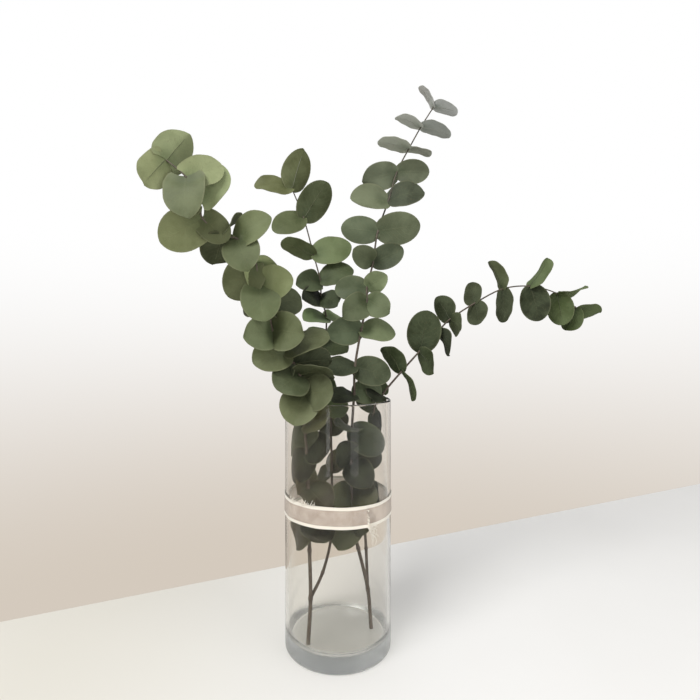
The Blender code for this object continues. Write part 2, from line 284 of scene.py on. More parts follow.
mottle_group, given, result = new_group(
    "mottle", [("Place", "NodeSocketVector", None), ("Scale", "NodeSocketFloat", 90.0)], ["Tone", "Fleck"])
broad = add_node(mottle_group, "ShaderNodeTexNoise", {
    "Vector": given["Place"], "Scale": given["Scale"], "Detail": 4.0})
fine_scale = sum_node(mottle_group, "MULTIPLY", given["Scale"], 9.0)
fine = add_node(mottle_group, "ShaderNodeTexNoise", {
    "Vector": given["Place"], "Scale": fine_scale, "Detail": 2.0})
wire(mottle_group, step_node(mottle_group, broad.outputs[0], 0.32, 0.68), result["Tone"])
wire(mottle_group, step_node(mottle_group, fine.outputs[0], 0.58, 0.74), result["Fleck"])

veins_group, given, result = new_group(
    "veins", [("Blade", "NodeSocketVector", None), ("Pairs", "NodeSocketFloat", 8.0)],
    ["Midrib", "Veins", "Rim", "Heart Shade And Rub"])
ends = add_node(veins_group, "ShaderNodeSeparateXYZ", {0: given["Blade"]}).outputs
from_middle = sum_node(veins_group, "ABSOLUTE", sum_node(
    veins_group, "MULTIPLY", sum_node(veins_group, "SUBTRACT", ends[0], 0.5), 2.0))
wander = add_node(veins_group, "ShaderNodeTexNoise", {"Vector": given["Blade"], "Scale": 5.0, "Detail": 2.0})
climb = sum_node(veins_group, "MULTIPLY", from_middle, 0.32)
along = sum_node(veins_group, "SUBTRACT", ends[1], climb)
along = sum_node(veins_group, "ADD", along, sum_node(veins_group, "MULTIPLY", wander.outputs[0], 0.09))
turns = sum_node(veins_group, "MULTIPLY", along, given["Pairs"])
saw = sum_node(veins_group, "ABSOLUTE", sum_node(
    veins_group, "SUBTRACT", sum_node(veins_group, "FRACT", turns), 0.5))
line = step_node(veins_group, saw, 0.12, 0.02)
fade = step_node(veins_group, from_middle, 0.97, 0.45)
wire(veins_group, sum_node(veins_group, "MULTIPLY", line, fade), result["Veins"])
rib_width = sum_node(veins_group, "SUBTRACT", 0.075, sum_node(veins_group, "MULTIPLY", ends[1], 0.055))
rib_share = sum_node(veins_group, "DIVIDE", from_middle, rib_width)
rib = sum_node(veins_group, "SUBTRACT", 1.0, rib_share, clamp=True)
wire(veins_group, step_node(veins_group, rib, 0.0, 0.6), result["Midrib"])
wire(veins_group, step_node(veins_group, from_middle, 0.90, 0.975), result["Rim"])

# Painted shade low on the blade near the rib, where the blade cups and meets its pair, with some rubbed
# bloom.
low_down = step_node(veins_group, ends[1], 0.62, 0.04)
inner = step_node(veins_group, from_middle, 1.0, 0.25)
wire(veins_group, sum_node(veins_group, "MULTIPLY", low_down, inner), result["Heart Shade And Rub"])

threads_group, given, result = new_group(
    "threads", [("Cloth", "NodeSocketVector", None), ("Warp", "NodeSocketFloat", 60.0),
                ("Weft", "NodeSocketFloat", 1100.0)], ["Cover", "Relief"])
ends = add_node(threads_group, "ShaderNodeSeparateXYZ", {0: given["Cloth"]}).outputs


def ridges(position, count):
    """Round ridges side by side, 1 on top of each thread and 0 between two."""
    turn = sum_node(threads_group, "MULTIPLY", position, count)
    turn = sum_node(threads_group, "MULTIPLY", turn, 2 * math.pi)
    wave = sum_node(threads_group, "COSINE", turn)
    return sum_node(threads_group, "ADD", sum_node(threads_group, "MULTIPLY", wave, 0.5), 0.5)


warp = ridges(ends[1], given["Warp"])
weft = ridges(ends[0], given["Weft"])
relief = sum_node(threads_group, "MAXIMUM", warp, weft)
wire(threads_group, relief, result["Relief"])
wire(threads_group, step_node(threads_group, relief, 0.25, 0.75), result["Cover"])
print("Shared effects:", [g.name for g in bpy.data.node_groups])

# %% [markdown]
# ## Vase
#
# The real vase is a straight cylinder of clear glass with a thick base and a rim rounded in the flame.
# Clear glass bends light at every face, so the shape that counts is both skins and the thickness between
# them. It is modelled as by hand: a disc is extruded up, its top is inset by the wall's thickness and
# pushed down to the base, and then the rim, foot and inner corner are bevelled.

# %% Vase shape
VASE_RADIUS = 0.049
VASE_HEIGHT = 0.227
GLASS_WALL = 0.0028
GLASS_BASE = 0.0125
FLOOR_CORNER = 0.009
FOOT_CORNER = 0.003
GLASS_SIDES = 128


def select_ring(piece, radius, height):
    """In edit mode, selects the ring of edges at that radius and height."""
    bpy.ops.object.mode_set(mode="OBJECT")
    mesh = piece.data
    near = [abs(v.co.z - height) < 0.00005 and abs(math.hypot(v.co.x, v.co.y) - radius) < 0.00005
            for v in mesh.vertices]
    for face in mesh.polygons:
        face.select = False
    for vertex in mesh.vertices:
        vertex.select = False
    for edge in mesh.edges:
        edge.select = near[edge.vertices[0]] and near[edge.vertices[1]]
    bpy.ops.object.mode_set(mode="EDIT")
    bpy.ops.mesh.select_mode(type="EDGE")


deselect_all()
bpy.ops.mesh.primitive_circle_add(vertices=GLASS_SIDES, radius=VASE_RADIUS, fill_type="NGON")
vase = bpy.context.object
vase.name = "vase_glass"
bpy.ops.object.mode_set(mode="EDIT")
bpy.ops.mesh.select_mode(type="FACE")
bpy.ops.mesh.select_all(action="SELECT")
bpy.ops.mesh.extrude_region_move(TRANSFORM_OT_translate={"value": (0.0, 0.0, VASE_HEIGHT)})
bpy.ops.mesh.inset(thickness=GLASS_WALL)
bpy.ops.mesh.extrude_region_move(TRANSFORM_OT_translate={"value": (0.0, 0.0, GLASS_BASE - VASE_HEIGHT)})
inside_radius = VASE_RADIUS - GLASS_WALL
for radius, height, rounding, segments in (
        (VASE_RADIUS, VASE_HEIGHT, GLASS_WALL * 0.48, 5), (inside_radius, VASE_HEIGHT, GLASS_WALL * 0.48, 5),
        (inside_radius, GLASS_BASE, FLOOR_CORNER, 12), (VASE_RADIUS, 0.0, FOOT_CORNER, 6)):
    select_ring(vase, radius, height)
    bpy.ops.mesh.bevel(offset=rounding, segments=segments, profile=0.5)
bpy.ops.mesh.select_all(action="SELECT")
bpy.ops.mesh.remove_doubles(threshold=0.00002)
bpy.ops.mesh.normals_make_consistent(inside=False)
bpy.ops.object.mode_set(mode="OBJECT")
bpy.ops.object.shade_smooth()
even = vase.modifiers.new("even", "WEIGHTED_NORMAL")
even.weight = 100
bpy.ops.object.modifier_apply(modifier="even")
print("The vase has", len(vase.data.polygons), "faces")

# %% [markdown]
# The glass is clear and very smooth, and a little uneven, because the wall of a drawn cylinder is never
# perfectly even. The unevenness is a faint, broad bump that bends reflections. The pressed base is less
# smooth, so what is seen through it is soft, and it is greyer because light crosses more glass there,
# which volume absorption does by itself.
# A renderer can't find lamps through bent glass, so rays from lamps pass straight, each skin taking a
# little of them, which leaves a soft shadow under the base.

# %% Vase finish
clear_glass, tree, shader = new_material("clear_glass_finish")
place = add_node(tree, "ShaderNodeTexCoord").outputs["Object"]
uneven = add_node(tree, "ShaderNodeTexNoise", {"Vector": place, "Scale": 28.0, "Detail": 1.0})
bump = add_node(tree, "ShaderNodeBump", {"Strength": 0.05, "Distance": 0.002, "Height": uneven.outputs[0]})
wire(tree, bump.outputs[0], shader.inputs["Normal"])
height = add_node(tree, "ShaderNodeSeparateXYZ", {0: place}).outputs[2]
in_base = step_node(tree, height, 0.030, 0.018)
rough = sum_node(tree, "ADD", sum_node(tree, "MULTIPLY", in_base, 0.22), 0.015)
wire(tree, rough, shader.inputs["Roughness"])
wire(tree, (0.96, 0.945, 0.915), shader.inputs["Base Color"])
wire(tree, 0.0, shader.inputs["Metallic"])
wire(tree, 1.5, shader.inputs["IOR"])
wire(tree, (0.3, 0.3, 0.3), shader.inputs["Specular Tint"])
wire(tree, 1.0, shader.inputs["Transmission Weight"])
depth = add_node(tree, "ShaderNodeVolumeAbsorption", {"Color": (0.45, 0.48, 0.49), "Density": 14.5})
output = tree.nodes["Material Output"]
wire(tree, depth.outputs[0], output.inputs["Volume"])
ray = add_node(tree, "ShaderNodeLightPath").outputs
passing = sum_node(tree, "MAXIMUM", ray["Is Shadow Ray"], ray["Is Diffuse Ray"])
straight = add_node(tree, "ShaderNodeBsdfTransparent", {"Color": (0.90, 0.90, 0.89)})
both = add_node(tree, "ShaderNodeMixShader", {0: passing, 1: shader.outputs[0], 2: straight.outputs[0]})
wire(tree, both.outputs[0], output.inputs["Surface"])
vase.data.materials.append(clear_glass)
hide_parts("glass_vase")
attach(vase, "root")
print("Vase finished")

# %% [markdown]
# ## Shoots
#
# Young silver eucalyptus carries round leaves in pairs, straight on the stem with no stalk. Each pair is
# turned about a quarter from the one below, and every leaf turns a little to the light. The four tables
# give each joint of a stem and where its two leaves reach, in centimetres, as read from the picture. The
# last number of a leaf says how far its face is turned from the stem's direction (0) to the light (1), or
# its under face to the light (-1).

# %% Tables of the shoots
CENTIMETRE = 0.01
LEFT_SHOOT = [
    ((-2.6, -2.5, 1.29),),
    ((-2.4, -2.3, 5.3),),
    ((-2.5, -2.2, 9.5),),
    ((-2.5, -2.3, 12.2), (-1.4, 1.7, -2.5, 0.6), (1.9, -1.8, -1.1, 0.7)),
    ((-2.6, -2.4, 15.1), (-1.5, 0.0, 2.4, 0.6), (1.9, -1.7, -1.4, 0.6)),
    ((-2.7, -2.6, 18.3), (-1.5, 0.0, -2.6, 0.9), (2.1, -1.5, 1.1, 0.7)),
    ((-2.9, -2.9, 20.8), (-0.8, 1.1, -3.1, 0.8), (2.3, -1.2, 1.2, 0.6)),
    ((-3.0, -3.4, 23.5), (2.6, -2.1, 0.5, 0.8), (-0.6, -2.3, -2.4, 0.75)),
    ((-3.3, -3.7, 25.2), (-1.6, -2.8, -1.0, 0.8), (2.9, -1.8, 0.2, -0.5)),
    ((-3.8, -3.9, 26.2), (3.2, 1.1, 0.3, -0.6), (-2.1, 2.2, -1.5, 0.6)),
    ((-4.3, -4.1, 27.3), (-2.7, -1.8, -0.9, 0.8), (3.6, -0.4, 1.2, 0.3)),
    ((-5.5, -4.6, 29.0), (-2.0, -2.6, -0.5, 1), (2.8, -1.8, -0.4, 1)),
    ((-5.8, -5.2, 31.1), (2.6, 1.9, 0.7, 0.7), (-2.1, 2.6, 0.4, 0.6)),
    ((-6.5, -5.7, 32.8), (2.9, -0.8, 0.3, 1), (0.6, -1.0, -3.2, 1)),
    ((-6.7, -6.2, 34.5), (-2.3, 0.8, -2.8, 0.9), (1.0, 2.4, -2.1, 0.8)),
    ((-8.0, -6.8, 36.2), (2.7, -0.3, 1.7, 0.5), (1.2, -1.2, -2.7, 0.9)),
    ((-9.1, -7.3, 36.4), (-1.3, 2.3, -1.9, -0.85), (0.9, 2.7, 1.7, 0.3)),
    ((-10.5, -7.8, 37.6), (-3.2, -0.4, -1.9, 0.9), (1.9, 0.6, -1.6, 0.9)),
    ((-10.8, -8.3, 39.1), (1.8, 1.1, 2.8, 0.8), (-2.5, 2.2, -0.1, 0.8)),
    ((-11.5, -8.8, 40.5), (2.5, 1.2, 1.2, 0.7), (0.4, -1.0, -3.4, 0.7)),
    ((-13.0, -8.8, 41.8), (1.3, 1.5, 2.6, -0.9), (-1.1, -1.4, -2.3, -0.9)),
]
MIDDLE_SHOOT = [
    ((-2.4, -2.3, 5.3),),
    ((-1.4, -0.6, 6.8),),
    ((-0.7, 0.9, 9.1),),
    ((-0.6, 1.8, 11.8), (-1.4, 1.8, 1.5, 0.5), (1.4, 2.3, 0.9, 0.3)),
    ((-0.6, 2.2, 15.4), (1.3, 1.9, 1.6, 0.5), (-1.8, 1.2, -1.8, 0.5)),
    ((-0.7, 2.5, 18.9), (-1.6, 0.9, 2.1, 0.4), (1.2, 1.6, 2.0, 0.6)),
    ((-0.8, 2.8, 22.4), (1.0, -2.8, -1.5, 0.5), (-1.2, 0.8, 2.4, 0.3)),
    ((-1.0, 3.2, 25.4), (2.3, 2.4, 0.7, 0.4), (-2.0, -2.6, 0.5, 0.3)),
    ((-1.2, 3.5, 28.0), (2.0, -2.5, -1.0, 0.7), (-2.0, 2.4, 1.3, 0.4)),
    ((-1.2, 3.8, 30.5), (-2.1, -2.7, -0.4, 0.6), (2.3, 2.5, -0.6, 0.5)),
    ((-1.7, 4.0, 32.6), (-1.7, -2.9, -0.5, 0.8), (1.7, -2.7, -1.1, 0.7)),
    ((-1.8, 4.1, 34.2), (-2.3, -2.4, -0.6, 0.8), (3.4, 0.3, 1.1, 0.6)),
    ((-2.5, 4.2, 36.9), (-3.2, -1.1, 1.1, -0.4), (3.9, 0.0, 0.8, 0.7)),
    ((-3.5, 4.1, 40.6), (2.4, 0.0, 3.7, -0.8), (-3.0, -1.2, -1.6, 0.7)),
    ((-4.7, 4.0, 43.6), (1.2, 0.2, 4.1, -0.8), (-3.7, -0.6, 0.0, 0.5)),
]
TALL_SHOOT = [
    ((3.1, 0.0, 1.29),),
    ((2.8, 0.1, 4.9),),
    ((1.9, 0.1, 8.7),),
    ((1.5, 0.0, 10.7), (-1.6, -2.6, -0.9, 0.5), (1.8, -2.1, 1.4, 0.6)),
    ((1.3, -0.1, 13.4), (-2.0, -2.0, 1.2, 0.9), (2.2, -2.0, 1.0, 0.8)),
    ((1.2, -0.2, 16.8), (1.6, -2.0, -1.7, 0.9), (-1.1, -1.9, 2.1, 0.8)),
    ((1.3, -0.2, 20.0), (2.8, -0.4, -2.1, 0.9), (-1.1, -2.8, 0.3, 0.5)),
    ((1.5, 0.0, 23.1), (-2.0, -2.2, -0.4, 0.5), (2.7, 1.2, 0.3, 0.8)),
    ((1.6, 0.3, 25.7), (3.3, -0.6, -0.9, 0.9), (-2.7, -1.2, -0.3, 0.5)),
    ((2.2, 0.8, 29.1), (3.3, 0.2, -0.3, 0.6), (-3.3, -1.0, -0.3, 1)),
    ((2.8, 1.2, 32.0), (-2.4, -1.8, -1.6, 1), (2.0, -1.6, -1.3, 1)),
    ((2.8, 1.5, 33.2), (-3.1, 0.2, -0.1, 0.8), (1.7, -1.8, 1.0, 1)),
    ((3.4, 1.8, 35.7), (2.9, -0.4, 1.3, 0.9), (-2.0, -1.8, 0.9, 1)),
    ((3.9, 2.3, 38.8), (-3.6, -0.6, 0.3, 0.9), (4.1, -0.4, 0.5, 1)),
    ((5.0, 2.9, 42.0), (-3.8, -0.8, 0.1, 0.6), (3.6, 0.2, 0.9, 0.6)),
    ((5.9, 3.4, 45.0), (-3.5, -0.8, -1.0, 1), (3.2, -0.3, -0.1, 0.95)),
    ((7.2, 3.9, 47.6), (-3.2, -0.5, 0.5, -0.12), (2.4, 1.4, -0.3, -0.05)),
    ((8.5, 4.4, 50.0), (-2.7, -0.6, 0.7, 0.05), (2.9, -0.6, -1.2, -0.05)),
    ((9.9, 4.9, 52.3), (-1.5, 0.3, 2.2, 0.1), (2.2, -1.1, -1.1, 0)),
]
ARCHING_SHOOT = [
    ((2.8, 0.1, 4.9),),
    ((2.7, 1.0, 8.3),),
    ((2.6, 1.5, 10.8),),
    ((2.7, 1.9, 14.2), (1.7, 0.0, -1.8, 0.6), (-1.3, 2.0, 1.2, 0.3)),
    ((3.0, 2.0, 17.6), (-0.3, -2.6, -1.5, 0.6), (0.9, 0.0, 2.4, 0.5)),
    ((3.5, 1.8, 21.2), (1.0, 0.0, -2.3, 0.8), (-1.3, 1.8, 1.3, 0.4)),
    ((4.3, 1.6, 22.9), (-1.2, -2.7, -0.2, -0.3), (-1.4, 2.3, 1.2, 0.5)),
    ((6.2, 2.0, 25.1), (-1.9, -0.6, 2.4, -0.4), (1.1, 0.4, -3.0, 0.1)),
    ((8.1, 2.6, 27.1), (1.0, -1.9, -2.0, -0.45), (0.6, -0.8, 3.9, -0.9)),
    ((10.0, 3.3, 29.0), (-1.6, 2.2, 1.1, -0.6), (0.7, -1.8, -2.3, -0.25)),
    ((11.4, 3.9, 30.3), (-1.2, 1.4, 2.3, -0.55), (0.3, -2.6, -1.3, -0.6)),
    ((14.2, 5.0, 32.0), (-0.1, 1.8, 2.3, -0.65), (-0.2, -1.8, -2.3, -0.65)),
    ((17.5, 6.2, 33.6), (-1.5, -0.2, 2.9, 0.1), (-0.1, -0.2, -3.6, -0.05)),
    ((20.9, 7.4, 34.0), (1.9, -0.2, 3.0, 0.1), (0.6, -0.6, -3.8, -0.85)),
    ((24.1, 8.2, 33.3), (3.5, 0.6, 0.9, 0.2), (0.3, -0.6, -3.5, -0.8)),
    ((26.6, 8.8, 31.7), (-1.4, -0.6, -2.5, -0.7), (3.0, 0.9, -0.4, 0.3)),
]
print("Joints:", [len(t) for t in (LEFT_SHOOT, MIDDLE_SHOOT, TALL_SHOOT, ARCHING_SHOOT)])

# %% [markdown]
# Each shoot also has its own thickness, leaf breadth and greens. "heart" says how far its leaves' lobes
# are drawn back at the stem, first for the lower leaves and then for those near the tip, and one more
# number how brown its leaves turn down in the vase and how much darker, as painted shade. The left shoot
# is the lightest olive, the arching one the darkest, and the tall shoot's last green is a pale grey that is
# painted light on its backlit tip leaves. A leaf's colour is blended between these by its place on the
# shoot, with a little seeded chance. Leaves that lie in more shade or catch more light than their
# neighbours get a factor of their own, by joint and side: painted shade below 1, painted light above 1.

# %% What each shoot is like
# The colour leaves turn towards down in the vase: browner with age, and darker as painted shade.
OLD_AND_SHADED_LEAF = (0.046, 0.036, 0.020)
SHOOTS = {
    "left": {
        "rows": LEFT_SHOOT, "branch": "left_branch", "foot": 0.0018, "seed": 11,
        "breadth": (1.0, 0.88), "heart": (1.0, 2.0), "age_and_shade": 0.9,
        "greens": [(0.06, 0.055, 0.03), (0.068, 0.07, 0.038), (0.087, 0.098, 0.049),
                   (0.135, 0.155, 0.074), (0.17, 0.195, 0.09), (0.205, 0.22, 0.115)],
        # Each leaf's own factor: painted light above 1, painted shade below 1.
        "painted_light_and_shade": {(20, 0): 1.5, (20, 1): 1.4, (19, 0): 1.45, (19, 1): 0.72, (18, 0): 1.6, (17, 1): 0.65,
                  (16, 0): 0.3, (16, 1): 0.5, (15, 1): 0.8, (14, 0): 0.75, (14, 1): 1.7, (13, 0): 1.3,
                  (13, 1): 0.88, (12, 0): 0.5, (12, 1): 0.5, (11, 1): 0.9, (10, 1): 0.8, (9, 0): 0.35,
                  (9, 1): 0.7, (8, 0): 1.1, (8, 1): 0.6, (7, 0): 1.5, (7, 1): 1.6, (6, 0): 1.2, (6, 1): 2.6,
                  (5, 0): 0.5, (5, 1): 0.4, (4, 0): 1.9, (4, 1): 1.5}},
    "middle": {
        "rows": MIDDLE_SHOOT, "branch": "left_branch", "foot": 0.0015, "seed": 12,
        "breadth": (0.86, 0.70), "heart": (0.2, 0.4), "age_and_shade": 0.9,
        "greens": [(0.05, 0.048, 0.025), (0.06, 0.062, 0.03), (0.06, 0.075, 0.033),
                   (0.09, 0.12, 0.052), (0.13, 0.165, 0.075), (0.085, 0.09, 0.036)],
        "painted_light_and_shade": {(14, 1): 1.3, (13, 0): 0.6, (13, 1): 1.15, (12, 0): 0.9, (12, 1): 1.5, (11, 0): 0.4,
                  (11, 1): 0.65, (10, 0): 0.05, (10, 1): 0.36, (9, 0): 1.9, (9, 1): 2.2, (8, 0): 0.85,
                  (8, 1): 0.8, (6, 0): 2.4, (5, 1): 2.6, (4, 0): 1.6, (4, 1): 1.5}},
    "tall": {
        "rows": TALL_SHOOT, "branch": "right_branch", "foot": 0.0018, "seed": 13,
        "breadth": (0.92, 0.72), "heart": (0.35, 0.35), "age_and_shade": 0.45,
        # The last green, a pale grey, is painted light on the tip leaves lit from behind.
        "greens": [(0.05, 0.047, 0.025), (0.055, 0.06, 0.033), (0.065, 0.078, 0.044),
                   (0.085, 0.105, 0.055), (0.10, 0.12, 0.068), (0.098, 0.11, 0.07), (0.40, 0.40, 0.41)],
        "painted_light_and_shade": {(18, 0): 1.5, (18, 1): 1.5, (17, 0): 2.0, (17, 1): 1.3, (16, 0): 2.2, (16, 1): 1.9,
                  (15, 0): 1.2, (15, 1): 1.2, (14, 0): 1.4, (14, 1): 0.6, (13, 0): 1.3, (13, 1): 1.2,
                  (12, 0): 0.75, (12, 1): 1.0, (11, 1): 2.5, (10, 1): 1.4, (9, 0): 1.6, (8, 0): 0.8,
                  (8, 1): 0.6, (7, 0): 0.25, (7, 1): 1.4, (5, 0): 0.8, (5, 1): 0.4, (4, 0): 2.4,
                  (4, 1): 2.4, (3, 0): 2.8}},
    "arching": {
        "rows": ARCHING_SHOOT, "branch": "right_branch", "foot": 0.0015, "seed": 14,
        "breadth": (0.90, 0.78), "heart": (0.2, 0.2), "age_and_shade": 0.6,
        "greens": [(0.045, 0.043, 0.02), (0.045, 0.052, 0.022), (0.045, 0.06, 0.022),
                   (0.04, 0.048, 0.02), (0.052, 0.06, 0.03), (0.048, 0.068, 0.02)],
        "painted_light_and_shade": {(15, 1): 1.3, (14, 0): 2.0, (14, 1): 1.7, (13, 0): 2.3, (13, 1): 0.5, (12, 0): 2.0,
                  (12, 1): 0.75, (10, 1): 1.2, (9, 1): 0.25, (8, 1): 0.85, (7, 1): 1.6, (6, 0): 0.15,
                  (5, 0): 0.4, (5, 1): 1.4}},
}


def between(first, second, share):
    return tuple(a + (b - a) * share for a, b in zip(first, second))


def leaf_green(shoot, joint, number, height, chance):
    """A leaf's colour from its place along the shoot, browner with age and darker as painted shade where it
    is down in the vase, times its own factor of painted light and shade.
    """
    greens = shoot["greens"]
    place = min(joint / (len(shoot["rows"]) - 1), 0.999) * (len(greens) - 1)
    green = between(greens[int(place)], greens[int(place) + 1], place % 1)
    in_vase = min(max((VASE_HEIGHT - height) / 0.05, 0.0), 1.0)
    # Down in the vase a leaf turns browner with age and darker as painted shade.
    green = between(green, OLD_AND_SHADED_LEAF, shoot["age_and_shade"] * in_vase)
    # A leaf's own factor from the table is painted light above 1 and painted shade below 1.
    light = chance.uniform(0.85, 1.12) * shoot["painted_light_and_shade"].get((joint, number), 1.0)
    light *= 1 + in_vase * chance.uniform(-0.5, 0.3)
    yellow = 1 + chance.uniform(-0.04, 0.04)
    return (green[0] * light * yellow, green[1] * light, green[2] * light / yellow)


print("Leaves to grow:", {name: sum(len(row) - 1 for row in shoot["rows"]) for name, shoot in SHOOTS.items()})

# %% [markdown]
# ### The blade
#
# All leaves are one blade, modelled once: a fine flat grid, drawn to the leaf's round outline with its
# two lobes at the stem. The grid's own UV map stays as it was, so it runs along the rows and across them.
# The blade's face looks down here, because placing it on a stem mirrors it, which turns it over again.

# %% Flat blade
BLADE_COLUMNS = 10
BLADE_ROWS = 16
LOBE_DEPTH = 0.06
BASE_ANGLE = 6
TIP_ANGLE = 176

deselect_all()
bpy.ops.mesh.primitive_grid_add(x_subdivisions=BLADE_COLUMNS, y_subdivisions=BLADE_ROWS, size=2.0)
blade = bpy.context.object
blade.name = "flat_blade"
bpy.ops.object.mode_set(mode="EDIT")
bpy.ops.mesh.select_all(action="SELECT")
bpy.ops.mesh.flip_normals()
bpy.ops.object.mode_set(mode="OBJECT")
bpy.ops.object.shade_smooth()
blade_grid = [(vertex.co.x, (vertex.co.y + 1) / 2) for vertex in blade.data.vertices]
print("One blade has", len(blade.data.polygons), "faces on each side")

# %% [markdown]
# A real leaf is never flat. Each one arches along its rib, cups across it, and its rim waves. The amounts
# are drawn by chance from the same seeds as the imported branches, so each fine leaf lies where its solid
# does. A groove along the rib and shallow pleats between the side veins are added on top. Leaves that
# hang inside the vase bend away from the glass.

# %% How a leaf lies
LEAF_GAP = 0.0012
PAIR_STEP = 0.001
ROOT_DEPTH = 0.0003
LIGHT_AT = Vector((0.0, -0.46, 0.28))


def kept_off_the_glass(place, inside):
    """Bends a blade clear of the vase: inwards where it hangs inside, outwards where outside."""
    distance = math.hypot(place.x, place.y)
    if place.z > VASE_HEIGHT + LEAF_GAP or distance == 0:
        return place
    room = VASE_RADIUS - GLASS_WALL - LEAF_GAP
    wanted = min(distance, room) if inside else max(distance, VASE_RADIUS + LEAF_GAP)
    return Vector((place.x * wanted / distance, place.y * wanted / distance, place.z))


class Leaf:
    """One leaf's place on its stem and the way its blade bends."""

    def __init__(self, joint, reach, turned, stem_direction, breadth, heart, draw):
        self.joint = joint
        self.heart = heart
        self.length = reach.length
        self.along = reach.normalized()
        to_light = (LIGHT_AT - joint - reach / 2).normalized()
        face = stem_direction * (1 - abs(turned)) + to_light * turned
        self.face = (face - self.along * face.dot(self.along)).normalized()
        self.across = self.face.cross(self.along)
        tip = joint + reach
        self.inside = joint.z < VASE_HEIGHT or math.hypot(tip.x, tip.y) < VASE_RADIUS
        self.arch = self.length * 0.07 * draw.uniform(0.4, 1.5)
        self.cup = self.length * 0.10 * draw.uniform(-0.3, 1.3)
        self.wave = self.length * 0.035 * draw.uniform(0.3, 1.5)
        self.phase = draw.uniform(0, 2 * math.pi)
        self.half_width = self.length * breadth * draw.uniform(0.94, 1.06) / 2
        self.ruffle = 0.0004

    def point(self, side, row, lift=0.0):
        """A point of the blade: side is -1 to 1 across it, row is 0 at the stem and 1 at the tip."""
        angle = math.radians(BASE_ANGLE + (TIP_ANGLE - BASE_ANGLE) * row)
        edge = (1 - math.cos(angle)) / 2 - LOBE_DEPTH * (1 + 0.5 * self.heart) * (1 - row)
        fullness = max(0.15, 1 - 0.4 * self.heart) if row < 0.5 else 1.0
        width = self.half_width * math.sin(angle) ** fullness
        forward = row + (edge - row) * side * side
        share = min(max((math.degrees(angle) - 32) / 130, 0.0), 1.0)
        ahead = min(max(forward, 0.0), 1.0)
        out = abs(side)
        turn = math.copysign(self.phase, side)
        rise = 4 * self.arch * ahead * (1 - ahead)
        rise += out ** 1.4 * self.cup * math.sin(angle)
        rise += out ** 2 * self.wave * math.sin(2 * math.pi * share + turn)
        rise += out ** 3 * self.ruffle * math.sin(6 * math.pi * share + 2 * turn)
        rise *= min(1.0, 3 * share + 0.3)
        rise -= 0.00035 * math.exp(-(side / 0.13) ** 2) * (1 - row)
        rise += 0.00012 * math.sin(16 * math.pi * (row - 0.32 * out)) * out * (1 - out) * 4
        place = (self.joint + self.along * (self.length * forward - ROOT_DEPTH * (1 - row))
                 + self.across * width * side + self.face * (rise + lift))
        return kept_off_the_glass(place, self.inside)


def leaves_of(shoot):
    """Every leaf of a shoot with its joint's number and its side, from the shoot's table."""
    draw = random.Random(shoot["seed"])
    rows = shoot["rows"]
    joints = [Vector(row[0]) * CENTIMETRE for row in rows]
    at_foot, at_tip = shoot["breadth"]
    heart_low, heart_high = shoot["heart"]
    for i, row in enumerate(rows):
        stem_direction = (joints[min(i + 1, len(rows) - 1)] - joints[max(i - 1, 0)]).normalized()
        share = i / (len(rows) - 1)
        for number, (x, y, z, turned) in enumerate(row[1:]):
            root = joints[i] + stem_direction * PAIR_STEP * (number - 0.5)
            reach = Vector((x, y, z)) * CENTIMETRE
            breadth = at_foot + (at_tip - at_foot) * share
            near_tip = min(max(0.0, (share - 0.78) / 0.10), 1.0)
            heart = heart_low + (heart_high - heart_low) * near_tip
            yield i, number, Leaf(root, reach, turned, stem_direction, breadth, heart, draw)


print("The first leaf is %.0f mm long" % (next(leaves_of(SHOOTS["left"]))[2].length * 1000))

# %% [markdown]
# ### Leaf finish
#
# The upper face is a dull waxy green with a pale bloom in patches, faint veins and a thin pale rim, and
# painted shade darkens it low on the blade near the rib. The under face is greyer and its veins stand out
# more. Both faces use the same groups and read each leaf's colour, with its painted light and shade, from
# an attribute, so a whole shoot needs only these two materials.


